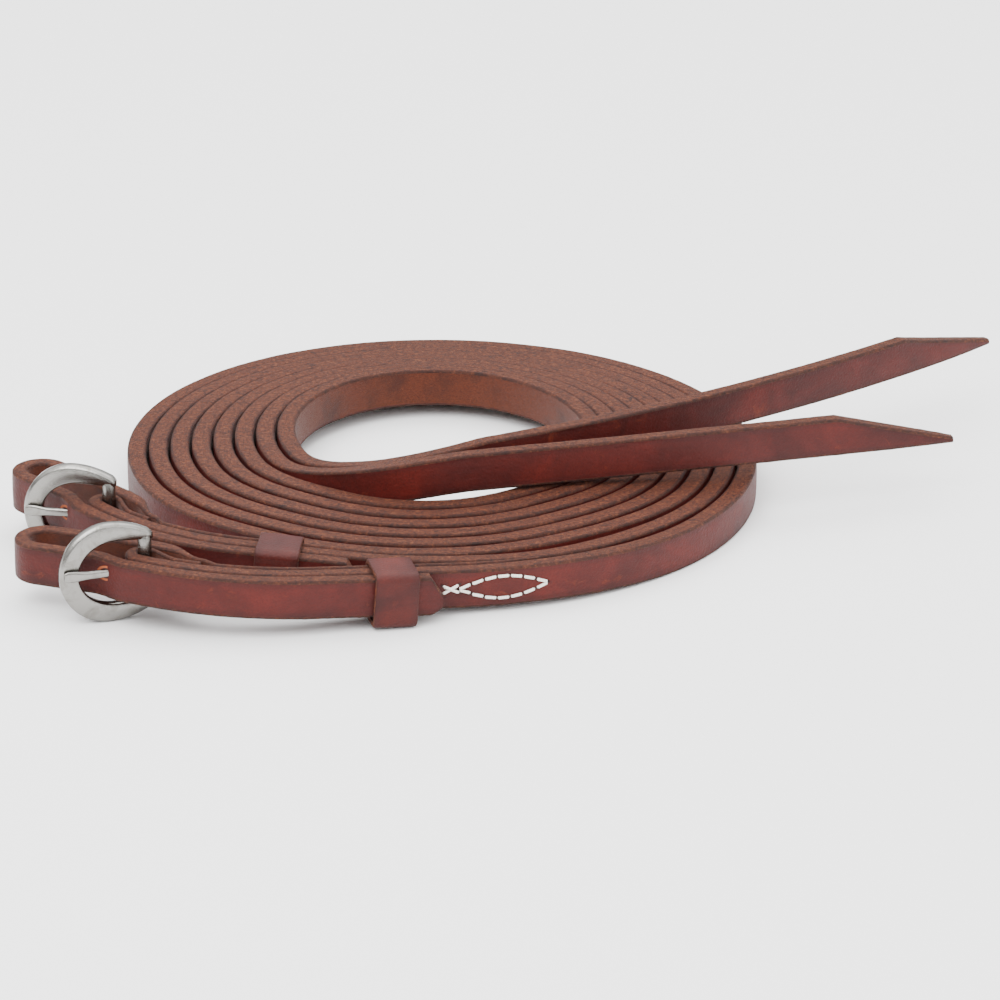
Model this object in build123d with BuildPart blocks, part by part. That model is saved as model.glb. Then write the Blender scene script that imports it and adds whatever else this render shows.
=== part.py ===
"""A pair of leather split reins, coiled together, with a buckled bit loop on each.

Each rein is a long strap. It stands on edge, winds inwards four turns counter-clockwise and leaves
the middle of the coil as a tail with a long pointed end. At its other end the strap folds round the
heel bar of a horseshoe buckle. A second strap is sewn behind that end: it makes the loop that holds
the bit, comes back through the buckle and ends under a loose keeper.

Millimetres. +X is to the right along the front of the coil, +Y is away from the front, +Z is up.
The floor is Z = 0 and the origin is under the middle of the whole object's box.
"""

import os
from math import atan, cos, degrees, pi, radians, sin

from build123d import *

# Leather
STRAP_WIDTH = 12.7
STRAP_THICKNESS = 5.0
SKIVED_THICKNESS = 2.0  # the strap ends that are pared down before they are sewn
LAYER_GAP = 0.2

# Coil
COIL_RADIUS = 105.0  # outer face of the outermost layer, at the front
COIL_WIDENING = 3.6  # more than that at the two sides
LAYER_PITCH = 6.325
SIDE_PITCH = 0.675  # the layers lie looser at the two sides
FRONT_PITCH = 0.45  # and tighter at the back than at the front
LAYER_RISE = 0.65  # from the second layer in, each stands this much higher than the last
FRONT_SPREAD = 2.45  # the sewn ends push the layers inside them in by this much, at the front
TURN_COUNT = 4
COIL_CENTRE = (-27.48, 11.63)

# Tails
TAIL_CLIMB_START = 7.62 * pi
TAIL_HEIGHT = (17.7, 18.4)  # under the tails, where they lie over the coil
TAIL_LENGTH = (162.0, 202.0)
TAIL_LEAVE = (0.245, 0.43)  # past the front of the coil, in radians
TAIL_TURN = (0.02, 0.28)
TAIL_LIFT = (0.0, 3.5)
TAIL_TIP_LENGTH = 40.0
TAIL_TIP_HEIGHT = 2.0

# Bit ends: where each strap leaves the coil, its straight run, and its bend up to the buckle
LEAVE_ANGLE = (0.227, -0.100)
STRAIGHT_RUN = (60.0, 50.0)
BEND_RADIUS = (95.0, 72.0)
BEND_TURN = (radians(33.0), radians(41.0))
LEAVE_LIFT = 1.9
EASING_RUN = 15.0
BILLET_TIP_RUN = (21.5, 12.5)  # from where the strap leaves the coil back to the billet's tip
STITCH_RUN = 34.0

# Buckle
BAR_RADIUS = 2.1
BAR_CLEARANCE = 0.08
FRAME_THICKNESS = 3.2
FRAME_HALF_HEIGHT = 16.25
FRAME_LENGTH = 27.2
WINDOW_HALF_HEIGHT = 10.3
WINDOW_LENGTH = 21.2
LEG_END = 2.4
FRAME_BEVEL = 0.9
STRAP_BELOW_MIDDLE = 1.0  # the strap's centre line lies this far under the frame's
FRAME_YAW = radians(38.0)
TONGUE_WIDTH = 3.0
TONGUE_THICKNESS = 2.0
TONGUE_PLAY = 0.9
TONGUE_LINE = 2.75  # the shank's middle, in front of the frame's middle plane
TONGUE_REACH = 26.2
TONGUE_HOLE_MIDDLE = 12.5
TONGUE_HOLE_LENGTH = 15.0
SLOT_BACK = 4.5
SLOT_REACH = 16.0

# Bit loop
LOOP_LENGTH = 43.0
FOLD_BACK_LENGTH = 19.0
BACK_STEP = 5.0  # run over which the sewn strap steps back behind the folded end
BILLET_DIP = 3.4  # the billet bends in behind the rounded bar
DIP_RUN = 13.0

# Thread
STITCH_COUNT = 7
STITCH_LENGTH = 3.5
STITCH_WIDTH = 0.8
STITCH_DEPTH = 0.5
STITCH_TAIL = 3.5
STITCH_BOW = 3.6
STITCH_MIDDLE = 6.6

# Keeper
KEEPER_LENGTH = 13.7
KEEPER_WALL = 1.6
KEEPER_CLEARANCE = 0.35
KEEPER_DROP = 1.65  # empty space inside the keeper under the straps
KEEPER_RUN = (36.4, 38.0)  # from where the strap leaves the coil back to the keeper's middle

REINS = (("front_rein", 0), ("rear_rein", 1))
HALF = STRAP_THICKNESS / 2
BILLET_OFFSET = STRAP_THICKNESS + LAYER_GAP
BACKING_OFFSET = -(HALF + LAYER_GAP + SKIVED_THICKNESS / 2)
BAR_OFFSET = -(HALF + BAR_RADIUS + BAR_CLEARANCE)
BEHIND_FOLD = BAR_OFFSET - BAR_RADIUS - BAR_CLEARANCE - SKIVED_THICKNESS - 2 * LAYER_GAP


def smooth(value):
    """0 below 0, 1 above 1, and an even S between them."""
    value = min(max(value, 0.0), 1.0)
    return value * value * (3 - 2 * value)


def front_share(angle):
    """1 at the front of the coil, where the sewn ends lie, and 0 round the rest of it."""
    angle = (angle + pi) % (2 * pi) - pi
    if angle > 0:
        return 1 - smooth((angle - 0.5) / 0.7)
    return 1 - smooth((-angle - 0.55) / 0.7)


def coil_radius(angle, rein):
    """Radius of the strap's centre line, angle in radians from the front, counter-clockwise."""
    layer = rein + angle / pi
    outer = COIL_RADIUS + COIL_WIDENING * sin(angle) ** 2
    pitch = LAYER_PITCH - SIDE_PITCH * cos(2 * angle) + FRONT_PITCH * cos(angle)
    sewn = FRONT_SPREAD * min(layer, 2.0) * front_share(angle)
    return outer - pitch * layer - sewn - HALF


def coil_station(angle, rein):
    """(x, y, height, heading) of a strap in the coil. The heading runs from bit to tail."""
    radius = coil_radius(angle, rein)
    layer = rein + angle / pi
    first = LEAVE_ANGLE[rein]
    height = LAYER_RISE * max(layer - 1.0, 0.0)
    height += LEAVE_LIFT * (1 - smooth((angle - first) / 0.7))
    last = tail_angle(rein)
    climb = smooth((angle - TAIL_CLIMB_START) / (last - TAIL_CLIMB_START))
    height += climb * (TAIL_HEIGHT[rein] - height)
    x = COIL_CENTRE[0] + radius * sin(angle)
    y = COIL_CENTRE[1] - radius * cos(angle)
    return x, y, height, angle


def tail_angle(rein):
    """Where the strap leaves the middle of the coil."""
    return 2 * pi * TURN_COUNT + TAIL_LEAVE[rein]


def tail_station(run, rein):
    """(x, y, height, heading) on a tail, run in millimetres from where it leaves the coil."""
    x, y, height, heading = coil_station(tail_angle(rein), rein)
    length = TAIL_LENGTH[rein]
    bend = length / TAIL_TURN[rein]
    now = heading + run / bend
    x += bend * (sin(now) - sin(heading))
    y -= bend * (cos(now) - cos(heading))
    return x, y, height + TAIL_LIFT[rein] * (run / length) ** 2, now


def end_station(run, rein, offset=0.0):
    """(x, y, height, heading) of the bit end, run in millimetres from where it leaves the coil.

    A negative run goes on along the coil. The offset is outwards from the strap's centre line.
    """
    if run < 0:
        angle = LEAVE_ANGLE[rein]
        radius = coil_radius(angle, rein)
        x, y, height, heading = coil_station(angle - run / radius, rein)
        return x + offset * sin(heading), y - offset * cos(heading), height, heading
    x, y, height, heading = coil_station(LEAVE_ANGLE[rein], rein)
    straight = min(run, STRAIGHT_RUN[rein])
    x -= straight * cos(heading)
    y -= straight * sin(heading)
    bend = BEND_RADIUS[rein]
    bent = min(max(run - STRAIGHT_RUN[rein], 0.0), bend * BEND_TURN[rein])
    now = heading - bent / bend
    x -= bend * (sin(heading) - sin(now))
    y -= bend * (cos(now) - cos(heading))
    beyond = max(run - straight - bent, 0.0)
    x -= beyond * cos(now)
    y -= beyond * sin(now)
    ramp = min(run, bar_run(rein))
    eased = ramp - EASING_RUN / 2 if ramp > EASING_RUN else ramp * ramp / (2 * EASING_RUN)
    height += end_slope(rein) * eased
    return x + offset * sin(now), y - offset * cos(now), height, now


def bar_run(rein):
    """Run of the heel bar."""
    return STRAIGHT_RUN[rein] + BEND_RADIUS[rein] * BEND_TURN[rein]


def end_slope(rein):
    """Slope at which the bit end climbs to a buckle frame that stands on the floor."""
    bar_height = FRAME_HALF_HEIGHT - STRAP_BELOW_MIDDLE - STRAP_WIDTH / 2
    return (bar_height - LEAVE_LIFT) / (bar_run(rein) - EASING_RUN / 2)


def ribbon(stations, ruled=False):
    """A strap on edge through stations of (x, y, bottom, heading, thickness, top height)."""
    with BuildPart() as strap:
        for x, y, bottom, heading, thickness, tall in stations:
            across = (sin(heading), -cos(heading), 0)
            along = (cos(heading), sin(heading), 0)
            plane = Plane(origin=(x, y, bottom + tall / 2), x_dir=across, z_dir=along)
            with BuildSketch(plane):
                Rectangle(thickness, tall)
        loft(ruled=ruled)
    return strap.part


def full(station, thickness=STRAP_THICKNESS):
    """A station with the strap's thickness and whole width."""
    return (*station, thickness, STRAP_WIDTH)


def buckle_plane(rein, across=0.0):
    """Plane of the buckle: origin on the heel bar at the frame's middle height.

    Its X axis points from the heel bar to the rounded bar, its Y axis is down, its Z axis out.
    """
    run = bar_run(rein)
    x, y, height, heading = end_station(run, rein, BAR_OFFSET)
    aim = heading + pi + FRAME_YAW
    middle = height + STRAP_WIDTH / 2 + STRAP_BELOW_MIDDLE
    facing = (sin(heading + FRAME_YAW), -cos(heading + FRAME_YAW), 0)
    plane = Plane(origin=(x, y, middle), x_dir=(cos(aim), sin(aim), 0), z_dir=facing)
    return plane.offset(across)


def fold_stations(rein):
    """The strap's end round the heel bar and back behind it, pared thinner as it goes."""
    run = bar_run(rein)
    x, y, height, heading = end_station(run, rein, BAR_OFFSET)
    inner = BAR_RADIUS + BAR_CLEARANCE
    stations = []
    steps = 8
    for step in range(steps + 1):
        share = step / steps
        thickness = STRAP_THICKNESS + share * (SKIVED_THICKNESS - STRAP_THICKNESS)
        reach = inner + thickness / 2
        now = heading - share * pi
        stations.append((x + reach * sin(now), y - reach * cos(now), height, now, thickness))
    return stations


def evenly(first, last, step):
    """Values from first to last, both included, about one step apart."""
    count = max(round(abs(last - first) / step), 1)
    return [first + (last - first) * index / count for index in range(count + 1)]


def rein_strap(name, rein):
    """The long strap: pointed tail, coil, straight run, bend and the fold round the heel bar."""
    body = TAIL_LENGTH[rein] - TAIL_TIP_LENGTH
    first = LEAVE_ANGLE[rein]
    turns = evenly(first, tail_angle(rein), 2 * pi)
    straight = STRAIGHT_RUN[rein]
    with BuildPart() as strap:
        add(ribbon(tip_stations(rein), ruled=True))
        add(ribbon([full(tail_station(run, rein)) for run in evenly(body, 0.0, 12.0)]))
        for start, end in zip(turns, turns[1:]):
            add(ribbon([full(coil_station(angle, rein)) for angle in evenly(start, end, pi / 18)]))
        for start, end in ((0.0, EASING_RUN), (EASING_RUN, straight), (straight, bar_run(rein))):
            add(ribbon([full(end_station(run, rein)) for run in evenly(start, end, 6.0)]))
        add(ribbon([(*station, STRAP_WIDTH) for station in fold_stations(rein)]))
        add(ribbon(fold_back_stations(rein)))
        add(tongue_slot(rein), mode=Mode.SUBTRACT)
    strap.part.label = name
    return strap.part


def tip_stations(rein):
    """The tail's point: the top edge comes down to the bottom edge."""
    start = TAIL_LENGTH[rein] - TAIL_TIP_LENGTH
    stations = []
    for share in (0.0, 0.5, 1.0):
        tall = STRAP_WIDTH + share * (TAIL_TIP_HEIGHT - STRAP_WIDTH)
        station = tail_station(start + share * TAIL_TIP_LENGTH, rein)
        stations.append((*station, STRAP_THICKNESS, tall))
    return stations


def fold_back_stations(rein):
    """The pared end behind the heel bar, coming in to lie against the strap."""
    stations = []
    outer = BAR_OFFSET - BAR_RADIUS - BAR_CLEARANCE - SKIVED_THICKNESS / 2
    for share in evenly(0.0, 1.0, 0.2):
        offset = outer + smooth(1.6 * share) * (BACKING_OFFSET - outer)
        run = bar_run(rein) - FOLD_BACK_LENGTH * share
        stations.append(full(end_station(run, rein, offset), SKIVED_THICKNESS))
    return stations


def tongue_slot(rein):
    """The slot through the fold that lets the tongue out."""
    run = bar_run(rein)
    x, y, height, heading = end_station(run, rein, BAR_OFFSET)
    middle = height + STRAP_WIDTH / 2
    plane = Plane(origin=(x, y, middle), x_dir=(-cos(heading), -sin(heading), 0), z_dir=(0, 0, 1))
    with BuildPart() as slot:
        with BuildSketch(plane.offset(-TONGUE_WIDTH / 2 - 0.5)):
            with Locations((SLOT_REACH / 2 - SLOT_BACK, 0)):
                Rectangle(SLOT_REACH, 18.0)
        extrude(amount=TONGUE_WIDTH + 1.0)
    return slot.part


def pared_end_stations(rein):
    """The sewn strap's pared end, against the back of the rein."""
    stations = []
    for run in evenly(pared_run(rein), step_run(rein), 6.0):
        share = (run - pared_run(rein)) / 20.0
        thickness = SKIVED_THICKNESS * (0.6 + 0.4 * smooth(share))
        away = LAYER_GAP * (1 + smooth(-run / 6.0))
        offset = -(HALF + away + thickness / 2)
        stations.append(full(end_station(run, rein, offset), thickness))
    return stations


def pared_run(rein):
    """Run of the pared end, at the nose of the stitching."""
    return BILLET_TIP_RUN[rein] - STITCH_RUN


def step_run(rein):
    """Run at which the sewn strap starts to step back behind the folded end."""
    return bar_run(rein) - FOLD_BACK_LENGTH - BACK_STEP


def step_stations(rein):
    """The sewn strap where it steps back behind the folded end and grows to full thickness."""
    folded = BACKING_OFFSET - SKIVED_THICKNESS / 2 - 2 * LAYER_GAP
    stations = []
    for run in evenly(step_run(rein), bar_run(rein), 4.0):
        away = run - step_run(rein)
        beside = -(HALF + LAYER_GAP)
        face = beside + smooth(away / (BACK_STEP - 1.0)) * (folded - beside)
        share = (away - BACK_STEP) / FOLD_BACK_LENGTH
        face += smooth(1.7 * share) * (BEHIND_FOLD - folded)
        thickness = SKIVED_THICKNESS + smooth(1.2 * share) * (STRAP_THICKNESS - SKIVED_THICKNESS)
        stations.append(full(end_station(run, rein, face - thickness / 2), thickness))
    return stations


def loop_sizes():
    """(offset behind, offset in front, radius, reach of its centre) of the bit loop's round end."""
    behind = BEHIND_FOLD - HALF
    front = BILLET_OFFSET - BILLET_DIP
    radius = (front - behind) / 2
    return behind, front, radius, LOOP_LENGTH - radius - HALF


def loop_stations(rein):
    """The round end of the bit loop, from the back to the front."""
    behind, front, radius, reach = loop_sizes()
    x, y, height, heading = end_station(bar_run(rein) + reach, rein, behind + radius)
    stations = []
    for turn in evenly(0.0, pi, pi / 10):
        now = heading + turn
        stations.append(full((x - radius * sin(now), y + radius * cos(now), height, now)))
    return stations


def billet_stations(rein, runs):
    """The billet at the given runs. Past the heel bar it bends in, behind the rounded bar."""
    stations = []
    for run in runs:
        beyond = run - bar_run(rein)
        offset = BILLET_OFFSET - BILLET_DIP * smooth((beyond - 1.0) / DIP_RUN)
        x, y, height, heading = end_station(run, rein, offset)
        stations.append(full((x, y, height, heading + pi)))
    return stations


def bit_strap(name, rein):
    """The sewn strap: pared end behind the rein, bit loop, and the billet back through the buckle."""
    behind, front, radius, reach = loop_sizes()
    bar = bar_run(rein)
    round_end = bar + reach
    back_runs = (bar, round_end)
    tip = BILLET_TIP_RUN[rein]
    with BuildPart() as strap:
        add(ribbon(pared_end_stations(rein)))
        add(ribbon(step_stations(rein)))
        add(ribbon([full(end_station(run, rein, behind)) for run in back_runs], ruled=True))
        add(ribbon(loop_stations(rein)))
        add(ribbon(billet_stations(rein, evenly(round_end, bar, 4.0))))
        add(ribbon(billet_stations(rein, evenly(bar, STRAIGHT_RUN[rein], 6.0))))
        add(ribbon(billet_stations(rein, (STRAIGHT_RUN[rein], tip)), ruled=True))
        add(billet_hole(rein), mode=Mode.SUBTRACT)
        add(billet_tip_waste(rein), mode=Mode.SUBTRACT)
    strap.part.label = name
    return strap.part


def billet_hole(rein):
    """The punched hole, drawn out along the line of the tongue."""
    middle = buckle_plane(rein).offset(TONGUE_LINE)
    with BuildPart() as hole:
        for side in (-1, 1):
            with BuildSketch(middle):
                with Locations((TONGUE_HOLE_MIDDLE, STRAP_BELOW_MIDDLE)):
                    Rectangle(TONGUE_HOLE_LENGTH, TONGUE_WIDTH + 1.0)
            extrude(amount=side * (TONGUE_THICKNESS / 2 + TONGUE_PLAY))
    return hole.part


def billet_tip_waste(rein):
    """What is cut off the billet's square end to leave its blunt point."""
    x, y, height, heading = end_station(BILLET_TIP_RUN[rein], rein, BILLET_OFFSET)
    facing = (sin(heading), -cos(heading), 0)
    plane = Plane(origin=(x, y, height), x_dir=(cos(heading), sin(heading), 0), z_dir=facing)
    with BuildPart() as waste:
        with BuildSketch(plane.offset(-STRAP_THICKNESS)):
            with BuildLine():
                Polyline((-3.6, 13.0), (0.2, 6.6), (0.2, 13.0), close=True)
            make_face()
            with BuildLine():
                Polyline((-5.5, -0.2), (-2.6, 0.4), (0.0, 2.6), (0.2, -0.2), close=True)
            make_face()
        extrude(amount=2 * STRAP_THICKNESS)
    return waste.part


def buckle_frame(name, rein):
    """The cast horseshoe frame with its heel bar."""
    foot = buckle_plane(rein, -FRAME_THICKNESS / 2)
    crown = FRAME_LENGTH - FRAME_HALF_HEIGHT
    with BuildPart() as frame:
        with BuildSketch(foot):
            with BuildLine():
                half_outline(crown + 0.5, FRAME_HALF_HEIGHT, FRAME_LENGTH, -LEG_END, 12.2)
                mirror(about=Plane.XZ)
                Line((-LEG_END, 12.2), (-LEG_END, -12.2))
            make_face()
            with BuildLine():
                half_outline(crown - 1.0, WINDOW_HALF_HEIGHT, WINDOW_LENGTH, -LEG_END, 9.4)
                mirror(about=Plane.XZ)
                Line((-LEG_END, 9.4), (-LEG_END, -9.4))
            make_face(mode=Mode.SUBTRACT)
        extrude(amount=FRAME_THICKNESS)
        front = frame.faces().sort_by(Axis((0, 0, 0), tuple(foot.z_dir)))[-1]
        chamfer(front.edges(), length=FRAME_BEVEL)
        with BuildSketch(bar_plane(rein, -11.0)):
            Circle(BAR_RADIUS)
        extrude(amount=22.0)
    frame.part.label = name
    return frame.part


def half_outline(crown, half_height, length, leg_x, leg_y):
    """Upper half of a horseshoe: a quarter of an ellipse and a gently curved leg."""
    EllipticalCenterArc((crown, 0), length - crown, half_height, start_angle=0, arc_size=90)
    TangentArc((crown, half_height), (leg_x, leg_y), tangent=(-1, 0))


def bar_plane(rein, up=0.0):
    """Horizontal plane square to the heel bar, up millimetres above the frame's middle."""
    base = buckle_plane(rein)
    return Plane(origin=base.origin + Vector(0, 0, up), x_dir=base.x_dir, z_dir=(0, 0, 1))


def buckle_tongue(name, rein):
    """The tongue: an eye rolled on the heel bar and a shank that lies over the rounded bar."""
    with BuildPart() as tongue:
        with BuildSketch(bar_plane(rein, -STRAP_BELOW_MIDDLE - TONGUE_WIDTH / 2)):
            Circle(BAR_RADIUS + BAR_CLEARANCE + 1.2)
            with Locations((TONGUE_REACH / 2, TONGUE_LINE)):
                Rectangle(TONGUE_REACH, TONGUE_THICKNESS)
            Circle(BAR_RADIUS + 0.06, mode=Mode.SUBTRACT)
        extrude(amount=TONGUE_WIDTH)
    tongue.part.label = name
    return tongue.part


def keeper(name, rein):
    """The loose keeper: a leather band round the straps, open at both ends."""
    run = KEEPER_RUN[rein]
    low = -(HALF + LAYER_GAP + SKIVED_THICKNESS + KEEPER_CLEARANCE)
    high = BILLET_OFFSET + HALF + KEEPER_CLEARANCE
    width = high - low
    tall = STRAP_WIDTH + KEEPER_DROP + KEEPER_CLEARANCE
    with BuildPart() as band:
        for grow, mode in ((KEEPER_WALL, Mode.ADD), (0.0, Mode.SUBTRACT)):
            reach = KEEPER_LENGTH / 2 + (1.0 if mode == Mode.SUBTRACT else 0.0)
            for side in (-1, 1):
                plane = keeper_plane(rein, run + side * reach, (low + high) / 2)
                with BuildSketch(plane):
                    RectangleRounded(width + 2 * grow, tall + 2 * grow, 0.5 + grow)
            loft(mode=mode)
    band.part.label = name
    return band.part


def keeper_plane(rein, run, offset):
    """Upright plane across the straight, sloping run of the straps."""
    x, y, height, heading = end_station(KEEPER_RUN[rein], rein, offset)
    away = run - KEEPER_RUN[rein]
    x -= away * cos(heading)
    y -= away * sin(heading)
    height += end_slope(rein) * away
    middle = height + (STRAP_WIDTH + KEEPER_CLEARANCE - KEEPER_DROP) / 2
    along = (cos(heading), sin(heading), 0)
    return Plane(origin=(x, y, middle), x_dir=(sin(heading), -cos(heading), 0), z_dir=along)


def fish_stitch(name, rein):
    """White thread sewn in the outline of a fish: two bowed rows and a crossed tail."""
    start = BILLET_TIP_RUN[rein] - 0.5
    with BuildPart() as thread:
        for run, up, slant in stitch_places():
            x, y, height, heading = end_station(start - run, rein, HALF + STITCH_DEPTH / 2 + 0.25)
            facing = (sin(heading), -cos(heading), 0)
            place = Plane(origin=(x, y, height + up), x_dir=(cos(heading), sin(heading), 0), z_dir=facing)
            with Locations(place.location * Rotation(0, 0, slant)):
                Box(STITCH_LENGTH, STITCH_WIDTH, STITCH_DEPTH)
    thread.part.label = name
    return thread.part


def stitch_places():
    """(run, height, slant in degrees) of each stitch, run from the billet's tip towards the tail."""
    places = []
    for side in (-1, 1):
        for step in range(STITCH_COUNT):
            share = (step + 0.5) / STITCH_COUNT
            run = STITCH_TAIL + (STITCH_RUN - STITCH_TAIL) * share
            bow = sin(pi * share)
            slope = cos(pi * share) * pi * STITCH_BOW / (STITCH_RUN - STITCH_TAIL)
            up = STITCH_MIDDLE + side * STITCH_BOW * bow
            places.append((run, up, side * degrees(atan(slope))))
    return places


def main():
    """Build every piece and write each to its own file."""
    os.makedirs("parts", exist_ok=True)
    makers = (
        ("strap", rein_strap),
        ("bit_strap", bit_strap),
        ("buckle_frame", buckle_frame),
        ("buckle_tongue", buckle_tongue),
        ("keeper", keeper),
        ("fish_stitch", fish_stitch),
    )
    for rein_name, rein in REINS:
        for piece, make in makers:
            name = rein_name + "_" + piece
            part = make(name, rein)
            print(name, part.is_valid, round(part.volume), part.bounding_box())
            export_step(part, "parts/" + name + ".step")


main()
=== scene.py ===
"""The looks of the pair of coiled leather split reins, on the frame that the CAD model gives.

Lengths in the shape functions are millimetres and become metres when a mesh is made.
The heading runs from the bit end to the tail. A strap's outside is to the right of it.
"""

from math import atan, atan2, cos, degrees, hypot, pi, radians, sin

import bmesh
import bpy
from mathutils import Matrix, Vector, noise


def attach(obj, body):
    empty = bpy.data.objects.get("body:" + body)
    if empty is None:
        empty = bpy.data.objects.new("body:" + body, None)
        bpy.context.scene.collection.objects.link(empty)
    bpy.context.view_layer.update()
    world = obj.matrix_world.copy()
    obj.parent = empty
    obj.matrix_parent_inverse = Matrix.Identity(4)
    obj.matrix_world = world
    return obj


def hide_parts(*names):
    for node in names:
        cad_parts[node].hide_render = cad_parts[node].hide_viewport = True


MM = 0.001

# Leather
STRAP_WIDTH = 12.7
STRAP_THICKNESS = 5.0
SKIVED_THICKNESS = 2.0
LAYER_GAP = 0.2
CORNER_RADIUS = 0.95
STATION_STEP = 2.0

# Coil
COIL_RADIUS = 105.0
COIL_WIDENING = 3.6
LAYER_PITCH = 6.325
SIDE_PITCH = 0.675
FRONT_PITCH = 0.45
LAYER_RISE = 0.65
FRONT_SPREAD = 2.45
TURN_COUNT = 4
LOOSE_GAP = 0.3
THICKEST = 6.1
COIL_CENTRE = (-27.48, 11.63)

# Tails
TAIL_CLIMB_START = 7.62 * pi
TAIL_HEIGHT = (17.7, 18.4)
TAIL_LENGTH = (162.0, 202.0)
TAIL_LEAVE = (0.245, 0.43)
TAIL_TURN = (0.02, 0.28)
TAIL_LIFT = (0.0, 3.5)
TAIL_TIP_LENGTH = 40.0
TAIL_TIP_HEIGHT = 2.0

# Bit ends
LEAVE_ANGLE = (0.227, -0.100)
STRAIGHT_RUN = (60.0, 50.0)
BEND_RADIUS = (95.0, 72.0)
BEND_TURN = (radians(33.0), radians(41.0))
LEAVE_LIFT = 1.9
EASING_RUN = 15.0
BILLET_TIP_RUN = (21.5, 12.5)
STITCH_RUN = 34.0

# Buckle
BAR_RADIUS = 2.1
BAR_CLEARANCE = 0.08
FRAME_THICKNESS = 3.2
FRAME_HALF_HEIGHT = 16.25
FRAME_LENGTH = 27.2
WINDOW_HALF_HEIGHT = 10.3
WINDOW_LENGTH = 21.2
LEG_END = 2.4
FRAME_BEVEL = 0.9
STRAP_BELOW_MIDDLE = 1.0
FRAME_YAW = radians(38.0)
TONGUE_WIDTH = 3.0
EYE_THICKNESS = 1.2
EYE_LINE = 0.72  # from the bar's surface to the middle of the eye's strip
EYE_START = -170
TONGUE_LINE = 2.75
TONGUE_REACH = 26.2
TONGUE_HOLE_MIDDLE = 12.5

# Bit loop
LOOP_LENGTH = 43.0
FOLD_BACK_LENGTH = 19.0
BACK_STEP = 5.0
BILLET_DIP = 3.4
DIP_RUN = 13.0

# Thread
STITCH_COUNT = 7
STITCH_LENGTH = 4.1
STITCH_TAIL = 3.5
STITCH_BOW = 3.6
STITCH_MIDDLE = 6.6
THREAD_RADIUS = 0.43

# Keeper
KEEPER_LENGTH = 13.7
KEEPER_WALL = 1.6
KEEPER_CLEARANCE = 0.35
KEEPER_DROP = 1.65
KEEPER_RUN = (36.4, 38.0)

# Camera and light
CAMERA_ELEVATION = radians(22.5)
CAMERA_DISTANCE = 1.7915
CAMERA_LENS = 198.0
CAMERA_SHIFT = (0.069, -0.015)
HORIZON_LIGHT = 0.3
SKY_LIGHT = 3.1

REINS = (("front_rein", 0), ("rear_rein", 1))
HALF = STRAP_THICKNESS / 2
BILLET_OFFSET = STRAP_THICKNESS + LAYER_GAP
BACKING_OFFSET = -(HALF + LAYER_GAP + SKIVED_THICKNESS / 2)
BAR_OFFSET = -(HALF + BAR_RADIUS + BAR_CLEARANCE)
BEHIND_FOLD = BAR_OFFSET - BAR_RADIUS - BAR_CLEARANCE - SKIVED_THICKNESS - 2 * LAYER_GAP
GRAIN, EDGE, FLESH = 0, 1, 2


def smooth(value):
    """0 below 0, 1 above 1, and an even S between them."""
    value = min(max(value, 0.0), 1.0)
    return value * value * (3 - 2 * value)


def evenly(first, last, step):
    """Values from first to last, both included, about one step apart."""
    count = max(round(abs(last - first) / step), 1)
    return [first + (last - first) * index / count for index in range(count + 1)]


def front_share(angle):
    """1 at the front of the coil, where the sewn ends lie, and 0 round the rest of it."""
    angle = (angle + pi) % (2 * pi) - pi
    if angle > 0:
        return 1 - smooth((angle - 0.5) / 0.7)
    return 1 - smooth((-angle - 0.55) / 0.7)


def coil_pitch(angle):
    """Distance from one layer of the coil to the next."""
    return LAYER_PITCH - SIDE_PITCH * cos(2 * angle) + FRONT_PITCH * cos(angle)


def coil_thickness(angle, rein):
    """Thickness of a strap in the coil: it fills the space between its neighbours."""
    pressed = smooth((angle - LEAVE_ANGLE[rein]) / 0.9)
    pressed *= 1 - smooth((angle - tail_angle(rein) + 0.8) / 0.8)
    filled = min(max(coil_pitch(angle) - LOOSE_GAP, STRAP_THICKNESS), THICKEST)
    return STRAP_THICKNESS + pressed * (filled - STRAP_THICKNESS)


def coil_radius(angle, rein):
    """Radius of the strap's centre line, angle in radians from the front, counter-clockwise."""
    layer = rein + angle / pi
    outer = COIL_RADIUS + COIL_WIDENING * sin(angle) ** 2
    pitch = coil_pitch(angle)
    sewn = FRONT_SPREAD * min(layer, 2.0) * front_share(angle)
    return outer - pitch * layer - sewn - HALF


def tail_angle(rein):
    """Where the strap leaves the middle of the coil."""
    return 2 * pi * TURN_COUNT + TAIL_LEAVE[rein]


def coil_station(angle, rein):
    """(x, y, height, heading) of a strap in the coil."""
    radius = coil_radius(angle, rein)
    layer = rein + angle / pi
    height = LAYER_RISE * max(layer - 1.0, 0.0)
    height += LEAVE_LIFT * (1 - smooth((angle - LEAVE_ANGLE[rein]) / 0.7))
    climb = smooth((angle - TAIL_CLIMB_START) / (tail_angle(rein) - TAIL_CLIMB_START))
    height += climb * (TAIL_HEIGHT[rein] - height)
    x = COIL_CENTRE[0] + radius * sin(angle)
    y = COIL_CENTRE[1] - radius * cos(angle)
    return x, y, height, angle


def tail_station(run, rein):
    """(x, y, height, heading) on a tail, run from where it leaves the coil."""
    x, y, height, heading = coil_station(tail_angle(rein), rein)
    length = TAIL_LENGTH[rein]
    bend = length / TAIL_TURN[rein]
    now = heading + run / bend
    x += bend * (sin(now) - sin(heading))
    y -= bend * (cos(now) - cos(heading))
    return x, y, height + TAIL_LIFT[rein] * (run / length) ** 2, now


def bar_run(rein):
    """Run of the heel bar."""
    return STRAIGHT_RUN[rein] + BEND_RADIUS[rein] * BEND_TURN[rein]


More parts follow.
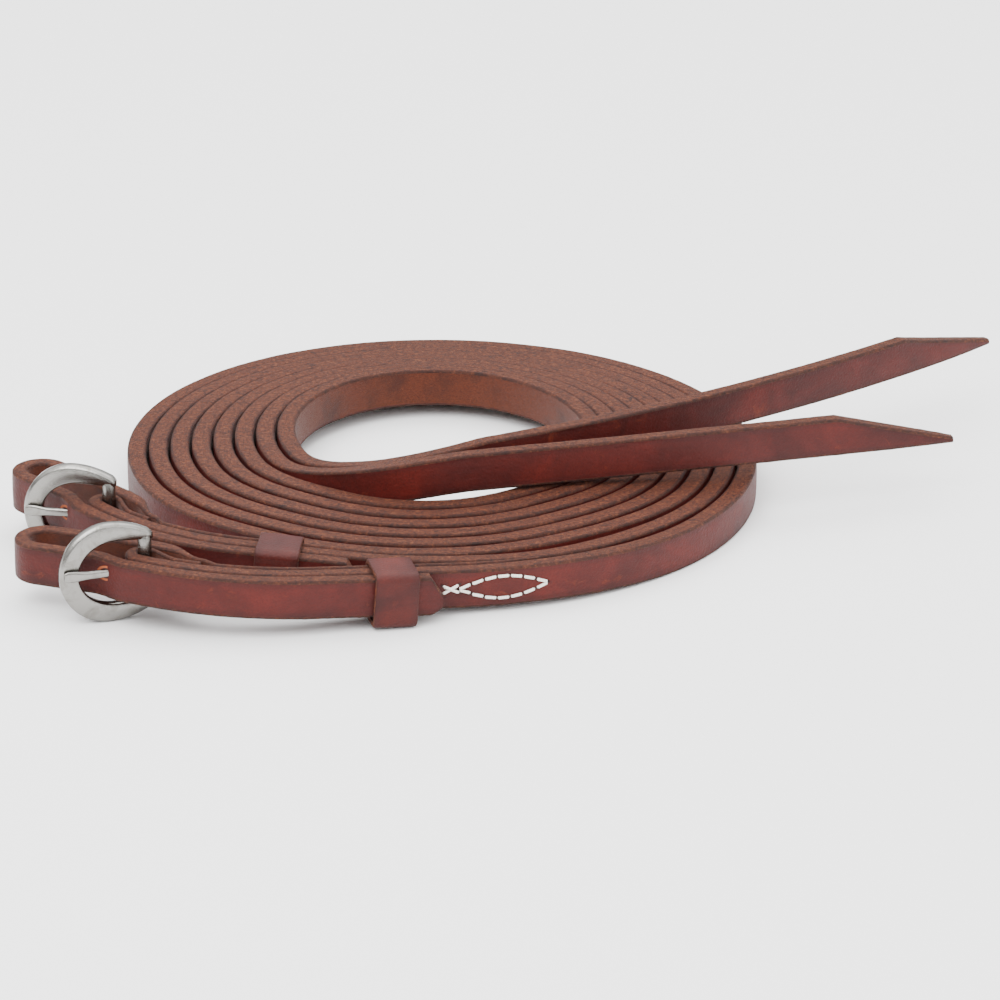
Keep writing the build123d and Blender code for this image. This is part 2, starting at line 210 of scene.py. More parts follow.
def end_slope(rein):
    """Slope at which the bit end climbs to a buckle frame that stands on the floor."""
    bar_height = FRAME_HALF_HEIGHT - STRAP_BELOW_MIDDLE - STRAP_WIDTH / 2
    return (bar_height - LEAVE_LIFT) / (bar_run(rein) - EASING_RUN / 2)


def end_station(run, rein, offset=0.0):
    """(x, y, height, heading) of the bit end, run from where it leaves the coil, offset outwards."""
    if run < 0:
        angle = LEAVE_ANGLE[rein]
        radius = coil_radius(angle, rein)
        x, y, height, heading = coil_station(angle - run / radius, rein)
        return x + offset * sin(heading), y - offset * cos(heading), height, heading
    x, y, height, heading = coil_station(LEAVE_ANGLE[rein], rein)
    straight = min(run, STRAIGHT_RUN[rein])
    x -= straight * cos(heading)
    y -= straight * sin(heading)
    bend = BEND_RADIUS[rein]
    bent = min(max(run - STRAIGHT_RUN[rein], 0.0), bend * BEND_TURN[rein])
    now = heading - bent / bend
    x -= bend * (sin(heading) - sin(now))
    y -= bend * (cos(now) - cos(heading))
    beyond = max(run - straight - bent, 0.0)
    x -= beyond * cos(now)
    y -= beyond * sin(now)
    ramp = min(run, bar_run(rein))
    eased = ramp - EASING_RUN / 2 if ramp > EASING_RUN else ramp * ramp / (2 * EASING_RUN)
    height += end_slope(rein) * eased
    return x + offset * sin(now), y - offset * cos(now), height, now


def turned(station, turn, thickness=STRAP_THICKNESS, low=0.0, high=STRAP_WIDTH):
    """(x, y, bottom, heading, thickness, height), with the heading turned and the edges trimmed."""
    x, y, height, heading = station
    return x, y, height + low, heading + turn, thickness, high - low


def rein_stations(rein):
    """The long strap from its pared end behind the heel bar to the point of its tail."""
    bar = bar_run(rein)
    outer = BAR_OFFSET - BAR_RADIUS - BAR_CLEARANCE - SKIVED_THICKNESS / 2
    stations = []
    for share in evenly(1.0, 0.0, 0.1):
        offset = outer + smooth(1.6 * share) * (BACKING_OFFSET - outer)
        station = end_station(bar - FOLD_BACK_LENGTH * share, rein, offset)
        stations.append(turned(station, -pi, SKIVED_THICKNESS))
    x, y, height, heading = end_station(bar, rein, BAR_OFFSET)
    for share in evenly(0.94, 0.06, 0.055):
        thickness = STRAP_THICKNESS + share * (SKIVED_THICKNESS - STRAP_THICKNESS)
        reach = BAR_RADIUS + BAR_CLEARANCE + thickness / 2
        now = heading - share * pi
        station = (x + reach * sin(now), y - reach * cos(now), height, now)
        stations.append(turned(station, 0.0, thickness))
    for run in evenly(bar, 0.0, STATION_STEP):
        stations.append(turned(end_station(run, rein), 0.0))
    first = LEAVE_ANGLE[rein]
    last = tail_angle(rein)
    for angle in evenly(first, last, STATION_STEP / 75.0)[1:]:
        stations.append(turned(coil_station(angle, rein), 0.0, coil_thickness(angle, rein)))
    body = TAIL_LENGTH[rein] - TAIL_TIP_LENGTH
    for run in evenly(0.0, body, STATION_STEP)[1:]:
        stations.append(turned(tail_station(run, rein), 0.0))
    for share in evenly(0.0, 1.0, 0.05)[1:]:
        high = STRAP_WIDTH + share * (TAIL_TIP_HEIGHT - STRAP_WIDTH)
        station = tail_station(body + share * TAIL_TIP_LENGTH, rein)
        stations.append(turned(station, 0.0, STRAP_THICKNESS * (1 - 0.35 * share ** 3), 0.0, high))
    return stations


def loop_sizes():
    """(offset behind, radius, reach of its centre) of the bit loop's round end."""
    behind = BEHIND_FOLD - HALF
    radius = (BILLET_OFFSET - BILLET_DIP - behind) / 2
    return behind, radius, LOOP_LENGTH - radius - HALF


def bit_stations(rein):
    """The sewn strap: pared end behind the rein, bit loop, and the billet back to its tip."""
    behind, radius, reach = loop_sizes()
    bar = bar_run(rein)
    step_run = bar - FOLD_BACK_LENGTH - BACK_STEP
    pared = BILLET_TIP_RUN[rein] - STITCH_RUN
    folded = BACKING_OFFSET - SKIVED_THICKNESS / 2 - 2 * LAYER_GAP
    stations = []
    for run in evenly(pared, step_run, STATION_STEP):
        thickness = SKIVED_THICKNESS * (0.6 + 0.4 * smooth((run - pared) / 20.0))
        away = LAYER_GAP * (1 + smooth(-run / 6.0))
        station = end_station(run, rein, -(HALF + away + thickness / 2))
        stations.append(turned(station, pi, thickness))
    for run in evenly(step_run, bar, STATION_STEP)[1:]:
        away = run - step_run
        beside = -(HALF + LAYER_GAP)
        face = beside + smooth(away / (BACK_STEP - 1.0)) * (folded - beside)
        share = (away - BACK_STEP) / FOLD_BACK_LENGTH
        face += smooth(1.7 * share) * (BEHIND_FOLD - folded)
        thickness = SKIVED_THICKNESS + smooth(1.2 * share) * (STRAP_THICKNESS - SKIVED_THICKNESS)
        stations.append(turned(end_station(run, rein, face - thickness / 2), pi, thickness))
    for run in evenly(bar, bar + reach, STATION_STEP)[1:]:
        stations.append(turned(end_station(run, rein, behind), pi))
    x, y, height, heading = end_station(bar + reach, rein, behind + radius)
    for turn in evenly(0.0, pi, pi / 18)[1:]:
        now = heading + turn
        station = (x - radius * sin(now), y + radius * cos(now), height, now)
        stations.append(turned(station, pi))
    tip = BILLET_TIP_RUN[rein]
    for run in evenly(bar + reach, tip + 6.0, 1.0)[1:]:
        stations.append(turned(billet_station(run, rein), 2 * pi))
    for run in evenly(tip + 6.0, tip, 0.5)[1:]:
        before = run - tip
        high = min(STRAP_WIDTH, 6.8 + before * 5.9 / 3.6)
        low = max(0.0, 2.4 * (1 - before / 4.0)) ** 1.4 / 2.4 ** 0.4
        stations.append(turned(billet_station(run, rein), 2 * pi, STRAP_THICKNESS, low, high))
    return stations


def billet_station(run, rein):
    """The billet's centre line. Past the heel bar it bends in, behind the rounded bar."""
    beyond = run - bar_run(rein)
    offset = BILLET_OFFSET - BILLET_DIP * smooth((beyond - 1.0) / DIP_RUN)
    return end_station(run, rein, offset)


def section_points():
    """Points round a strap's section, each (thickness share, corner share, height share,
    corner share, side, 1 on a rounded corner).
    """
    corner = [pi / 8 * step for step in range(1, 4)]
    faces = [-1 + 2 * step / 12 for step in range(13)]
    edges = [1 - 2 * step / 5 for step in range(6)]
    points = [(1, 1, share, 0, GRAIN, 0.0) for share in faces]
    points += [(1, cos(a), 1, sin(a), EDGE, 1.0) for a in corner]
    points += [(share, 0, 1, 1, EDGE, 0.0) for share in edges]
    points += [(-1, -sin(a), 1, cos(a), EDGE, 1.0) for a in corner]
    points += [(-1, -1, -share, 0, FLESH, 0.0) for share in faces]
    points += [(-1, -cos(a), -1, -sin(a), EDGE, 1.0) for a in corner]
    points += [(-share, 0, -1, -1, EDGE, 0.0) for share in edges]
    points += [(1, sin(a), -1, -cos(a), EDGE, 1.0) for a in corner]
    return points


def roughness_at(side, along, up, seed):
    """How far the leather stands out at this place, in millimetres."""
    place = Vector((along * 0.05, up * 0.09, seed))
    broad = noise.noise(place)
    fine = noise.noise(Vector((along * 0.55, up * 0.8, seed + 5.0)))
    if side == GRAIN:
        return 0.12 * broad + 0.035 * fine
    if side == FLESH:
        return 0.10 * broad + 0.09 * fine
    fibre = noise.noise(Vector((along * 1.1, up * 2.6, seed + 9.0)))
    return 0.14 * broad + 0.09 * fine + 0.07 * fibre


def strap(name, stations, seed):
    """A strap with rounded, burnished corners through the stations."""
    points = section_points()
    ring_size = len(points)
    vertices = []
    burnish = []
    coords = []
    along = 0.0
    previous = stations[0]
    for x, y, bottom, heading, thickness, tall in stations:
        along += hypot(x - previous[0], y - previous[1])
        previous = (x, y)
        radius = min(CORNER_RADIUS, 0.42 * thickness, 0.42 * tall)
        out_x, out_y = sin(heading), -cos(heading)
        round_up = 0.0
        for index, (share, corner, rise, rise_corner, side, dark) in enumerate(points):
            out = share * (thickness / 2 - radius) + corner * radius
            up = tall / 2 + rise * (tall / 2 - radius) + rise_corner * radius
            bump = roughness_at(side, along, up + (20 if side == FLESH else 0), seed)
            if side == EDGE:
                up += min(bump, 0.0) if rise < 0 else bump * 0.7
            else:
                crown = 0.16 * (1 - (2 * up / tall - 1) ** 2)
                out += (bump + crown - 0.12) * (1 if side == GRAIN else -1)
            height = bottom + up
            vertices.append((x + out * out_x, y + out * out_y, max(height, 0.02)))
            edge_wear = 1.0 if side == EDGE and dark else 0.0
            if side != EDGE and abs(rise) > 0.8:
                edge_wear = 0.6
            burnish.append(edge_wear)
            coords.append((along / 10, index / ring_size * 4.0))
    faces = []
    sides = []
    for ring in range(len(stations) - 1):
        for index in range(ring_size):
            after = (index + 1) % ring_size
            a = ring * ring_size + index
            b = ring * ring_size + after
            faces.append((a, a + ring_size, b + ring_size, b))
            kinds = (points[index][4], points[after][4])
            sides.append(EDGE if EDGE in kinds else kinds[0])
    last = (len(stations) - 1) * ring_size
    faces.append(tuple(range(ring_size)))
    faces.append(tuple(last + ring_size - 1 - index for index in range(ring_size)))
    sides += [EDGE, EDGE]
    piece = mesh_object(name, vertices, faces)
    set_sides(piece, sides, LEATHER)
    set_attribute(piece, "burnish", burnish)
    set_coords(piece, coords)
    return piece


def mesh_object(name, vertices, faces):
    """A new mesh object, given in millimetres, with its faces turned outwards."""
    mesh = bpy.data.meshes.new(name)
    mesh.from_pydata([tuple(value * MM for value in vertex) for vertex in vertices], [], faces)
    mesh.validate()
    mesh.shade_smooth()
    mesh.set_sharp_from_angle(angle=radians(50))
    piece = bpy.data.objects.new(name, mesh)
    bpy.context.scene.collection.objects.link(piece)
    return piece


def set_sides(piece, sides, makers):
    """Gives each face the material of its side."""
    for material in makers:
        piece.data.materials.append(material)
    piece.data.polygons.foreach_set("material_index", sides)


def set_attribute(piece, name, values):
    """Writes one number for each vertex."""
    layer = piece.data.attributes.new(name, "FLOAT", "POINT")
    layer.data.foreach_set("value", values)


def set_coords(piece, coords):
    """Writes texture coordinates, in centimetres along and round the strap."""
    layer = piece.data.uv_layers.new(name="UVMap")
    for loop in piece.data.loops:
        layer.data[loop.index].uv = coords[loop.vertex_index]


def linear(red, green, blue):
    """A colour given as it looks, 0 to 255, as linear light."""
    return tuple(((value / 255 + 0.055) / 1.055) ** 2.4 for value in (red, green, blue)) + (1.0,)


class Shader:
    """A material under construction."""

    def __init__(self, name):
        self.material = bpy.data.materials.new(name)
        self.material.use_nodes = True
        self.nodes = self.material.node_tree.nodes
        self.links = self.material.node_tree.links
        self.surface = self.nodes["Principled BSDF"]

    def node(self, kind, **values):
        """A new node with some of its inputs set or linked."""
        made = self.nodes.new("ShaderNode" + kind)
        for key, value in values.items():
            socket = made.inputs[key.replace("_", " ")]
            if hasattr(value, "is_output"):
                self.links.new(value, socket)
            else:
                socket.default_value = value
        return made

    def coords(self, source, stretch):
        """Texture coordinates, stretched."""
        texture = self.nodes.new("ShaderNodeTexCoord")
        return self.node("Mapping", Vector=texture.outputs[source], Scale=stretch).outputs[0]

    def noise(self, vector, scale, detail=4.0, rough=0.55, distortion=0.0):
        """Noise from 0 to 1."""
        made = self.node("TexNoise", Vector=vector, Scale=scale, Detail=detail)
        made.inputs["Roughness"].default_value = rough
        made.inputs["Distortion"].default_value = distortion
        return made.outputs["Fac"]

    def ramp(self, value, low, high):
        """0 below low, 1 above high."""
        made = self.node("MapRange", Value=value)
        made.inputs["From Min"].default_value = low
        made.inputs["From Max"].default_value = high
        return made.outputs[0]

    def mix(self, share, first, second):
        """A mix of two colours."""
        made = self.nodes.new("ShaderNodeMix")
        made.data_type = "RGBA"
        sockets = (made.inputs[0], made.inputs[6], made.inputs[7])
        for socket, value in zip(sockets, (share, first, second)):
            if hasattr(value, "is_output"):
                self.links.new(value, socket)
            else:
                socket.default_value = value
        return made.outputs[2]

    def math(self, operation, first, second):
        """Arithmetic on two values."""
        made = self.nodes.new("ShaderNodeMath")
        made.operation = operation
        for socket, value in zip(made.inputs, (first, second)):
            if hasattr(value, "is_output"):
                self.links.new(value, socket)
            else:
                socket.default_value = value
        return made.outputs[0]

    def attribute(self, name):
        """A number written on the vertices."""
        made = self.nodes.new("ShaderNodeAttribute")
        made.attribute_name = name
        return made.outputs["Fac"]

    def bump(self, height, strength, distance):
        """A bumpy normal on the surface."""
        made = self.node("Bump", Height=height, Strength=strength, Distance=distance)
        self.links.new(made.outputs[0], self.surface.inputs["Normal"])

    def finish(self, colour, roughness, **constants):
        """Links the colour and roughness and sets the constants."""
        for key, value in (("Base Color", colour), ("Roughness", roughness)):
            if hasattr(value, "is_output"):
                self.links.new(value, self.surface.inputs[key])
            else:
                self.surface.inputs[key].default_value = value
        for key, value in constants.items():
            self.surface.inputs[key.replace("_", " ")].default_value = value
        return self.material


def grain_leather(name, light, dark, patch, patch_from):
    """The smooth outside of oiled leather: red-brown, with paler pull-up patches and fine grain."""
    shader = Shader(name)
    place = shader.coords("Object", (1.0, 1.0, 1.0))
    along = shader.coords("UV", (1.0, 1.0, 1.0))
    broad = shader.noise(place, 45.0, 5.0, 0.6, 0.6)
    colour = shader.mix(shader.ramp(broad, 0.34, 0.66), dark, light)
    cloud = shader.noise(along, 1.1, 6.0, 0.65, 1.2)
    colour = shader.mix(shader.ramp(cloud, patch_from, patch_from + 0.16), colour, patch)
    speck = shader.noise(place, 1400.0, 3.0, 0.6)
    colour = shader.mix(shader.math("MULTIPLY", shader.ramp(speck, 0.48, 0.72), 0.6), colour, dark)
    burnish = shader.attribute("burnish")
    colour = shader.mix(shader.math("MULTIPLY", burnish, 0.4), colour, linear(34, 11, 10))
    pores = shader.node("TexVoronoi", Vector=place, Scale=1500.0).outputs["Distance"]
    creases = shader.noise(along, 9.0, 6.0, 0.7, 0.8)
    height = shader.math("ADD", shader.math("MULTIPLY", pores, 0.5), creases)
    shader.bump(height, 0.55, 0.00030)
    roughness = shader.node("MapRange", Value=cloud)
    roughness.inputs["To Min"].default_value = 0.42
    roughness.inputs["To Max"].default_value = 0.62
    return shader.finish(colour, roughness.outputs[0], Specular_IOR_Level=0.24)


def cut_leather(name):
    """The cut edge: pale fibres along the strap, with dark burnished corners."""
    shader = Shader(name)
    along = shader.coords("UV", (0.6, 5.0, 1.0))
    place = shader.coords("Object", (1.0, 1.0, 1.0))
    fibres = shader.noise(along, 7.5, 9.0, 0.78, 1.0)
    colour = shader.mix(shader.ramp(fibres, 0.36, 0.64), linear(30, 9, 4), linear(106, 50, 25))
    mottled = shader.noise(place, 240.0, 5.0, 0.65, 0.4)
    colour = shader.mix(shader.ramp(mottled, 0.56, 0.76), colour, linear(34, 9, 6))
    speckle = shader.noise(place, 850.0, 4.0, 0.7)
    dark_specks = shader.math("MULTIPLY", shader.ramp(speckle, 0.54, 0.66), 0.75)
    colour = shader.mix(dark_specks, colour, linear(30, 9, 6))
    pale_specks = shader.math("MULTIPLY", shader.ramp(speckle, 0.46, 0.34), 0.6)
    colour = shader.mix(pale_specks, colour, linear(132, 74, 44))
    worn = shader.noise(place, 120.0, 4.0, 0.6)
    edge = shader.math("MULTIPLY", shader.attribute("burnish"), shader.ramp(worn, 0.25, 0.6))
    colour = shader.mix(shader.math("MULTIPLY", edge, 0.65), colour, linear(38, 14, 12))
    shader.bump(shader.math("ADD", shader.math("ADD", fibres, mottled), speckle), 1.0, 0.0007)
    return shader.finish(colour, 0.72, Specular_IOR_Level=0.35)


def flesh_leather(name):
    """The rough inside of the strap."""
    shader = Shader(name)
    place = shader.coords("Object", (1.0, 1.0, 1.0))
    along = shader.coords("UV", (1.0, 2.2, 1.0))
    nap = shader.noise(along, 14.0, 8.0, 0.75, 1.0)
    colour = shader.mix(shader.ramp(nap, 0.3, 0.7), linear(42, 12, 5), linear(100, 44, 19))
    cloud = shader.noise(place, 70.0, 4.0, 0.6)
    colour = shader.mix(shader.ramp(cloud, 0.5, 0.8), colour, linear(42, 16, 11))
    shader.bump(nap, 0.7, 0.0005)
    return shader.finish(colour, 0.82, Specular_IOR_Level=0.25, Sheen_Weight=0.12)


def steel(name):
    """Cast and polished steel with fine scratches and faint tarnish."""
    shader = Shader(name)
    place = shader.coords("Object", (1.0, 1.0, 1.0))
    brushed = shader.coords("Object", (1.0, 1.0, 9.0))
    tarnish = shader.noise(place, 190.0, 6.0, 0.7, 0.6)
    colour = shader.mix(shader.ramp(tarnish, 0.5, 0.78), linear(138, 136, 132), linear(104, 99, 92))
    scratches = shader.noise(brushed, 900.0, 4.0, 0.7)
    shader.bump(shader.math("ADD", scratches, shader.math("MULTIPLY", tarnish, 2.0)), 0.25, 0.00012)
    roughness = shader.node("MapRange", Value=tarnish)
    roughness.inputs["To Min"].default_value = 0.13
    roughness.inputs["To Max"].default_value = 0.30
    return shader.finish(colour, roughness.outputs[0], Metallic=1.0)


def thread_material(name):
    """White waxed thread."""
    shader = Shader(name)
    twist = shader.coords("UV", (1.0, 1.0, 1.0))
    plies = shader.node("TexWave", Vector=twist, Scale=3.0, Distortion=0.4).outputs["Fac"]
    colour = shader.mix(plies, linear(222, 214, 200), linear(246, 243, 236))
    shader.bump(plies, 0.4, 0.0001)
    return shader.finish(colour, 0.6, Sheen_Weight=0.1)


def plain(name, colour, roughness):
    """A quiet finish with a little unevenness."""
    shader = Shader(name)
    place = shader.coords("Object", (1.0, 1.0, 1.0))
    cloud = shader.noise(place, 400.0, 4.0, 0.6)
    darker = tuple(value * 0.7 for value in colour[:3]) + (1.0,)
    return shader.finish(shader.mix(cloud, darker, colour), roughness)


def buckle_matrix(rein):
    """Frame of the buckle: X from the heel bar to the rounded bar, Y up, Z outwards."""
    x, y, height, heading = end_station(bar_run(rein), rein, BAR_OFFSET)
    aim = heading + pi + FRAME_YAW
    across = Vector((cos(aim), sin(aim), 0))
    facing = Vector((sin(heading + FRAME_YAW), -cos(heading + FRAME_YAW), 0))
    middle = Vector((x, y, height + STRAP_WIDTH / 2 + STRAP_BELOW_MIDDLE))
    up = facing.cross(across)
    matrix = Matrix((across, up, facing)).transposed().to_4x4()
    matrix.translation = middle
    return matrix


def horseshoe(crown, half_height, length, leg_y, steps):
    """Points of a horseshoe from the lower leg's end round the crown to the upper leg's end."""
    upper = []
    for step in range(steps + 1):
        turn = pi / 2 * step / steps
        upper.append((crown + (length - crown) * cos(turn), half_height * sin(turn)))
    reach = crown + LEG_END
    for step in range(1, steps + 1):
        share = step / steps
        drop = (half_height - leg_y) * share * share
        upper.append((crown - reach * share, half_height - drop))
    lower = [(x, -y) for x, y in upper[:0:-1]]
    return lower + upper


def rounded_profile(width, depth):
    """Section of the frame's band: bevelled outer front edge, softened others, (across, through)."""
    half = depth / 2
    return [
        (0.0, -half + 0.45), (0.12, -half + 0.14), (0.45, -half), (width * 0.5, -half - 0.02),
        (width - 0.45, -half), (width - 0.12, -half + 0.14), (width, -half + 0.45),
        (width, half - FRAME_BEVEL - 0.12), (width - 0.1, half - FRAME_BEVEL + 0.12),
        (width - FRAME_BEVEL + 0.1, half - 0.1), (width - FRAME_BEVEL - 0.15, half),
        (width * 0.42, half + 0.05), (0.75, half - 0.02), (0.3, half - 0.16), (0.05, half - 0.5),
    ]


def skin(rings):
    """(vertices, faces) of a closed tube through the rings."""
    size = len(rings[0])
    vertices = [point for ring in rings for point in ring]
    faces = []
    for ring in range(len(rings) - 1):
        for index in range(size):
            after = (index + 1) % size
            a = ring * size + index
            b = ring * size + after
            faces.append((a, b, b + size, a + size))
    last = (len(rings) - 1) * size
    faces.append(tuple(size - 1 - index for index in range(size)))
    faces.append(tuple(last + index for index in range(size)))
    return vertices, faces


def joined(parts):
    """One (vertices, faces) from several."""
    vertices = []
    faces = []
    for part_vertices, part_faces in parts:
        start = len(vertices)
        vertices += part_vertices
        faces += [tuple(start + index for index in face) for face in part_faces]
    return vertices, faces


def buckle_frame(name, rein):
    """The cast horseshoe band and its heel bar."""
    matrix = buckle_matrix(rein)
    crown = FRAME_LENGTH - FRAME_HALF_HEIGHT
    outer = horseshoe(crown + 0.5, FRAME_HALF_HEIGHT, FRAME_LENGTH, 12.2, 22)
    inner = horseshoe(crown - 1.0, WINDOW_HALF_HEIGHT, WINDOW_LENGTH, 9.4, 22)
    rings = []
    for index, (outside, inside) in enumerate(zip(outer, inner)):
        across = Vector((outside[0] - inside[0], outside[1] - inside[1]))
        width = across.length
        across.normalize()
        from_end = min(index, len(outer) - 1 - index)
        shrink = (0.62, 0.88, 1.0)[min(from_end, 2)]
        ring = []
        for over, through in rounded_profile(width, FRAME_THICKNESS):
            over = width / 2 + (over - width / 2) * shrink
            through *= shrink
            x = inside[0] + across.x * over
            y = inside[1] + across.y * over
            wave = 0.05 * noise.noise(Vector((x * 0.25, y * 0.25, through + rein * 9)))
            ring.append(tuple(matrix @ Vector((x, y, through + wave))))
        rings.append(ring)
    bar = []
    for along in (-10.9, -10.2, -6.0, 0.0, 6.0, 10.2, 10.9):
        radius = BAR_RADIUS - (0.3 if abs(along) > 10.5 else 0.0)
        bar.append([
            tuple(matrix @ Vector((radius * cos(pi * step / 12), along, -radius * sin(pi * step / 12))))
            for step in range(24)
        ])
    vertices, faces = joined([skin(rings), skin(bar)])
    piece = mesh_object(name, vertices, faces)
    outwards(piece)
    piece.data.materials.append(STEEL)
    return piece


def outwards(piece):
    """Turns every face outwards."""
    work = bmesh.new()
    work.from_mesh(piece.data)
    bmesh.ops.recalc_face_normals(work, faces=work.faces)
    work.to_mesh(piece.data)
    work.free()


def buckle_tongue(name, rein):
    """The tongue: an eye rolled on the heel bar and a shank with a flattened tip."""
    matrix = buckle_matrix(rein)
    points = []
    sizes = []
    reach = BAR_RADIUS + EYE_LINE
    for degree in range(EYE_START, 91, 10):
        points.append((-reach * cos(radians(degree)), reach * sin(radians(degree))))
        sizes.append((EYE_THICKNESS, TONGUE_WIDTH))
    for step in range(1, 25):
        share = step / 24
        thick = EYE_THICKNESS + 0.65 * smooth(share * 4) - 0.75 * smooth((share - 0.72) / 0.25)
        wide = TONGUE_WIDTH - 0.5 * smooth(share * 2) + 1.1 * smooth((share - 0.7) / 0.22)
        if share > 0.97:
            wide *= 0.72
        points.append((TONGUE_REACH * share, TONGUE_LINE + 0.05))
        sizes.append((thick, wide))
    rings = []
    for index, ((x, z), (thick, wide)) in enumerate(zip(points, sizes)):
        before = points[max(index - 1, 0)]
        after = points[min(index + 1, len(points) - 1)]
        slope = atan2(after[1] - before[1], after[0] - before[0])
        ring = []
        for step in range(16):
            turn = 2 * pi * step / 16
            lift = thick / 2 * abs(cos(turn)) ** 0.6 * (1 if cos(turn) > 0 else -1)
            side = wide / 2 * abs(sin(turn)) ** 0.7 * (1 if sin(turn) > 0 else -1)
            up = side - STRAP_BELOW_MIDDLE
            ring.append(tuple(matrix @ Vector((x - lift * sin(slope), up, z + lift * cos(slope)))))
        rings.append(ring)
    vertices, faces = skin(rings)
    piece = mesh_object(name, vertices, faces)
    outwards(piece)
    piece.data.materials.append(STEEL)
    return piece


def keeper(name, rein):
    """The loose keeper: a thick leather band with raw, slightly uneven rims."""
    low = -(HALF + LAYER_GAP + SKIVED_THICKNESS + KEEPER_CLEARANCE)
    high = BILLET_OFFSET + HALF + KEEPER_CLEARANCE
    width = high - low
    tall = STRAP_WIDTH + KEEPER_DROP + KEEPER_CLEARANCE
    x, y, height, heading = end_station(KEEPER_RUN[rein], rein, (low + high) / 2)
    middle = Vector((x, y, height + (STRAP_WIDTH + KEEPER_CLEARANCE - KEEPER_DROP) / 2))
    along = Vector((cos(heading), sin(heading), -end_slope(rein))).normalized()
    out = Vector((sin(heading), -cos(heading), 0))
    up = out.cross(along) * -1
    if up.z < 0:
        up = -up
    rings = []
    sides = []
    loop = keeper_loop(width, tall)
    half = KEEPER_LENGTH / 2
    section, kinds = keeper_section(half)
    for index, (a, b, normal_a, normal_b) in enumerate(loop):
        ring = []
        for axial, radial in section:
            wave = noise.noise(Vector((index * 0.09, axial * 0.2, 3.0 + rein)))
            radial_now = radial + (0.10 * wave if radial > 1.0 else 0.0)
            uneven = 0.22 * noise.noise(Vector((index * 0.13, 7.0, rein)))
            axial_now = axial + uneven * (1 if axial > 0 else -1)
            place = middle + along * axial_now
            place = place + out * (a + normal_a * radial_now) + up * (b + normal_b * radial_now)
            ring.append((place.x, place.y, max(place.z, 0.03)))
        rings.append(ring)
    size = len(section)
    vertices = [point for ring in rings for point in ring]
    faces = []
    coords = []
    for ring in range(len(rings)):
        after_ring = (ring + 1) % len(rings)
        for index in range(size):
            after = (index + 1) % size
            here = ring * size
            there = after_ring * size
            faces.append((here + index, here + after, there + after, there + index))
            sides.append(kinds[index])
            coords.append((ring * 0.05, section[index][0] / 10))
    piece = mesh_object(name, vertices, faces)
    set_sides(piece, sides, KEEPER_LEATHER)
    outwards(piece)
    burnish = [1.0 if index in (3, 4, 8, 9) else 0.0 for ring in rings for index in range(size)]
    set_attribute(piece, "burnish", burnish)
    set_coords(piece, coords)
    return piece


def keeper_section(half):
    """Section of the band, (along, through), and the side of the leather that follows each point."""
    wall = KEEPER_WALL
    section = [
        (-half + 0.1, 0.0), (-half, 0.25), (-half, wall - 0.45), (-half + 0.15, wall - 0.12),
        (-half + 0.5, wall), (-half * 0.5, wall + 0.04), (0.0, wall + 0.06),
        (half * 0.5, wall + 0.04), (half - 0.5, wall), (half - 0.15, wall - 0.12),
        (half, wall - 0.45), (half, 0.25), (half - 0.1, 0.0), (half * 0.5, 0.0), (-half * 0.5, 0.0),
    ]
    kinds = [EDGE] * 3 + [GRAIN] * 6 + [EDGE] * 3 + [FLESH] * 3
    return section, kinds


def keeper_loop(width, tall):
    """Points round the keeper's inside: (out, up, normal out, normal up), a rounded rectangle."""
    corner = 0.9
    points = []
    for side_a, side_b, start in ((1, 1, 0), (-1, 1, 90), (-1, -1, 180), (1, -1, 270)):
        for step in range(7):
            turn = radians(start + 15 * step)
            a = side_a * (width / 2 - corner) + corner * cos(turn)
            b = side_b * (tall / 2 - corner) + corner * sin(turn)
            points.append((a, b, cos(turn), sin(turn)))
        points += keeper_side(points[-1], side_a, side_b, width, tall, corner)
    return points


def keeper_side(last, side_a, side_b, width, tall, corner):
    """Points along the flat side that follows a corner of the keeper."""
    count = 8
    made = []
    for step in range(1, count):
        share = step / count
        if side_a == side_b:
            a = last[0] + (-2 * side_a * (width / 2 - corner)) * share
            made.append((a, last[1], 0.0, float(side_b)))
        else:
            b = last[1] + (-2 * side_b * (tall / 2 - corner)) * share
            made.append((last[0], b, float(side_a), 0.0))
    return made


def stitch_places():
    """(run, height, slant, length) of each stitch, run from the billet's tip towards the tail."""
    places = [(3.0, STITCH_MIDDLE, 27.0, 6.2), (3.2, STITCH_MIDDLE, -27.0, 6.2)]
    for side in (-1, 1):
        for step in range(STITCH_COUNT):
            share = (step + 0.5) / STITCH_COUNT
            run = STITCH_TAIL + 2.0 + (STITCH_RUN - STITCH_TAIL - 2.0) * share
            slope = cos(pi * share) * pi * STITCH_BOW / (STITCH_RUN - STITCH_TAIL)
            up = STITCH_MIDDLE + side * STITCH_BOW * sin(pi * share)
            places.append((run, up, side * degrees(atan(slope)), STITCH_LENGTH))
    return places


